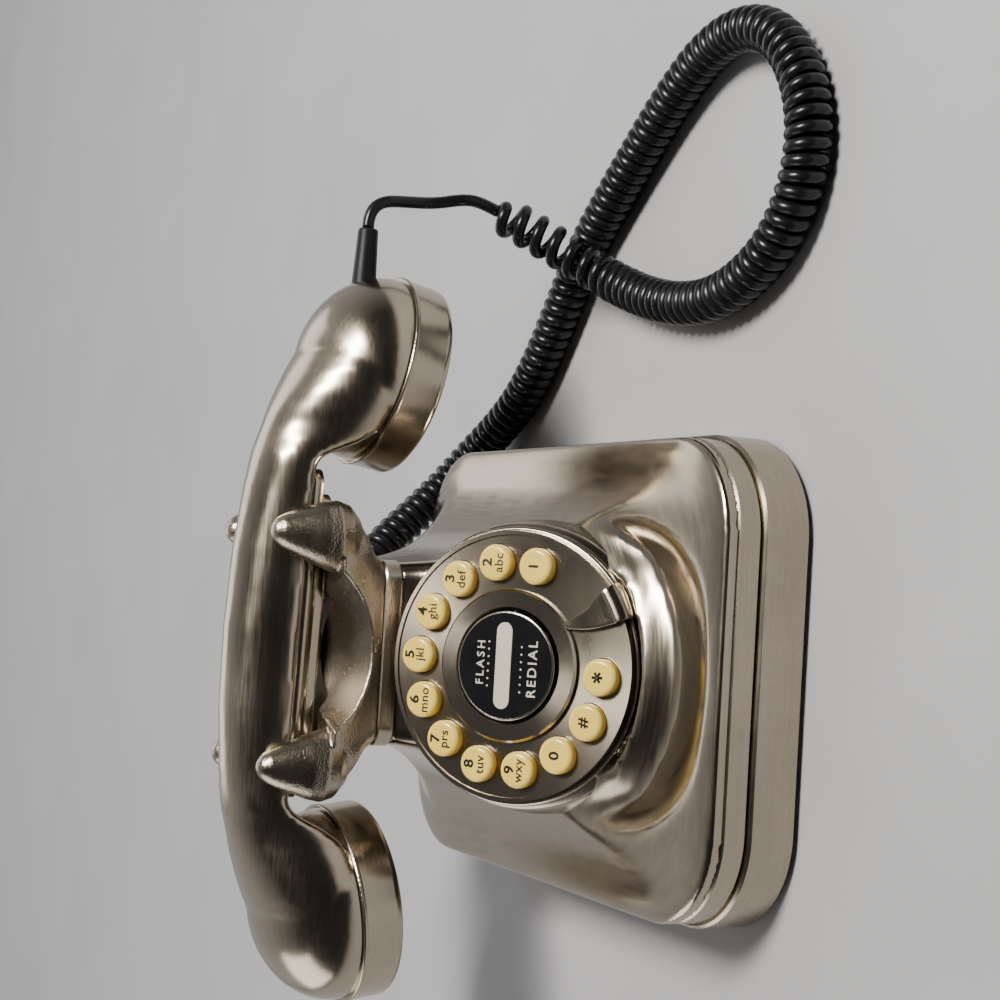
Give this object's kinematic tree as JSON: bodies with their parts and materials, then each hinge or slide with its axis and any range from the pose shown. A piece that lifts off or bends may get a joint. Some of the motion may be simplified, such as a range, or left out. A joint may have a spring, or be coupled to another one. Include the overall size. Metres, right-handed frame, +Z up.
{
  "type": "desk telephone",
  "caption": "Retro desk telephone in satin nickel: handset on a four-horned cradle, push keys set in a ring like a dial, centre function button and a black curly cord.",
  "frame": {"origin": "centre of the base's footprint, on the desk under the rubber feet", "axes": "+Z up, -Y the front with the dial, +X the caller's right"},
  "size_m": [0.327, 0.2286, 0.1252],
  "materials": {
    "bar_white": "warm white translucent",
    "board_green": "lacquered circuit board",
    "button_black": "polished black",
    "cord_black": "glossy black cord jacket",
    "dial_metal": "dull warm nickel, worn",
    "foam_grey": "soft foam",
    "key_cream": "glossy cream",
    "nickel": "satin nickel plate with fine brush lines",
    "nickel_pearl": "bead-blasted satin nickel plate",
    "plastic_black": "moulded black plastic",
    "plastic_grey": "moulded grey plastic",
    "rubber_black": "moulded black rubber",
    "steel": "zinc-plated steel"
  },
  "bodies": {
    "base": {"base_band": "nickel", "middle_band": "nickel", "bottom_plate": "steel", "bottom_screws": "steel", "rubber_feet": "rubber_black", "base_weight": "steel", "ringer": "plastic_black", "main_board": "board_green", "board_screws": "steel", "line_jack": "plastic_black", "switch_housing": "plastic_black", "body_shell": "nickel", "neck_collar": "nickel", "handset_jack": "plastic_black", "cradle": "nickel_pearl", "hook_bracket": "steel", "hook_screws": "steel", "hook_spring": "steel", "hook_switch": "plastic_black", "dial_plate": "dial_metal", "dial_bezel_ring": "dial_metal", "dial_inner_ring": "dial_metal", "keypad_membrane": "rubber_black", "keypad_board": "board_green", "keypad_retainer": "plastic_black", "button_pin": "steel", "finger_stop": "dial_metal", "cord_coil": "cord_black", "cord_tail": "cord_black", "cord_plug": "plastic_black"},
    "handset": {"handset_shell": "nickel", "handset_cover": "nickel", "handset_screws": "steel", "handset_weight": "steel", "ear_cap": "nickel", "mouth_cap": "nickel", "receiver": "plastic_black", "receiver_ring": "foam_grey", "microphone": "steel", "microphone_ring": "rubber_black", "cord_boot": "rubber_black", "cord_lead": "cord_black"},
    "hook": {"hook_plunger": "nickel_pearl"},
    "center_button": {"center_button": "button_black", "button_light_bar": "bar_white"},
    "ringer_switch": {"ringer_switch": "plastic_grey"},
    "tone_pulse_switch": {"tone_pulse_switch": "plastic_grey"},
    "key_1": {"key_1": "key_cream"},
    "key_2": {"key_2": "key_cream"},
    "key_3": {"key_3": "key_cream"},
    "key_4": {"key_4": "key_cream"},
    "key_5": {"key_5": "key_cream"},
    "key_6": {"key_6": "key_cream"},
    "key_7": {"key_7": "key_cream"},
    "key_8": {"key_8": "key_cream"},
    "key_9": {"key_9": "key_cream"},
    "key_0": {"key_0": "key_cream"},
    "key_hash": {"key_hash": "key_cream"},
    "key_star": {"key_star": "key_cream"}
  },
  "joints": [
    {"name": "handset_lift", "type": "slide", "parent": "base", "child": "handset", "axis": [0, 0, 1], "range_m": [0, 0.12]},
    {"name": "hook_travel", "type": "slide", "parent": "base", "child": "hook", "axis": [0, 0, 1], "range_m": [0, 0.004]},
    {"name": "center_button_rock", "type": "hinge", "parent": "base", "child": "center_button", "pos_m": [0, -0.02899, 0.05714], "axis": [1, 0, 0], "range_deg": [-2.5, 2.5], "stiffness_Nm_per_rad": 0.08},
    {"name": "ringer_switch_slide", "type": "slide", "parent": "base", "child": "ringer_switch", "axis": [1, 0, 0], "range_m": [0, 0.004]},
    {"name": "tone_pulse_switch_slide", "type": "slide", "parent": "base", "child": "tone_pulse_switch", "axis": [1, 0, 0], "range_m": [0, 0.004]},
    {"name": "key_1_press", "type": "slide", "parent": "base", "child": "key_1", "axis": [0, 0.565, -0.8251], "range_m": [0, 0.0012], "stiffness_N_per_m": 450},
    {"name": "key_2_press", "type": "slide", "parent": "base", "child": "key_2", "axis": [0, 0.565, -0.8251], "range_m": [0, 0.0012], "stiffness_N_per_m": 450},
    {"name": "key_3_press", "type": "slide", "parent": "base", "child": "key_3", "axis": [0, 0.565, -0.8251], "range_m": [0, 0.0012], "stiffness_N_per_m": 450},
    {"name": "key_4_press", "type": "slide", "parent": "base", "child": "key_4", "axis": [0, 0.565, -0.8251], "range_m": [0, 0.0012], "stiffness_N_per_m": 450},
    {"name": "key_5_press", "type": "slide", "parent": "base", "child": "key_5", "axis": [0, 0.565, -0.8251], "range_m": [0, 0.0012], "stiffness_N_per_m": 450},
    {"name": "key_6_press", "type": "slide", "parent": "base", "child": "key_6", "axis": [0, 0.565, -0.8251], "range_m": [0, 0.0012], "stiffness_N_per_m": 450},
    {"name": "key_7_press", "type": "slide", "parent": "base", "child": "key_7", "axis": [0, 0.565, -0.8251], "range_m": [0, 0.0012], "stiffness_N_per_m": 450},
    {"name": "key_8_press", "type": "slide", "parent": "base", "child": "key_8", "axis": [0, 0.565, -0.8251], "range_m": [0, 0.0012], "stiffness_N_per_m": 450},
    {"name": "key_9_press", "type": "slide", "parent": "base", "child": "key_9", "axis": [0, 0.565, -0.8251], "range_m": [0, 0.0012], "stiffness_N_per_m": 450},
    {"name": "key_0_press", "type": "slide", "parent": "base", "child": "key_0", "axis": [0, 0.565, -0.8251], "range_m": [0, 0.0012], "stiffness_N_per_m": 450},
    {"name": "key_hash_press", "type": "slide", "parent": "base", "child": "key_hash", "axis": [0, 0.565, -0.8251], "range_m": [0, 0.0012], "stiffness_N_per_m": 450},
    {"name": "key_star_press", "type": "slide", "parent": "base", "child": "key_star", "axis": [0, 0.565, -0.8251], "range_m": [0, 0.0012], "stiffness_N_per_m": 450}
  ],
  "couplings": [
    {"joint": "hook_travel", "follows": "handset_lift", "ratio": 0.033333}
  ]
}
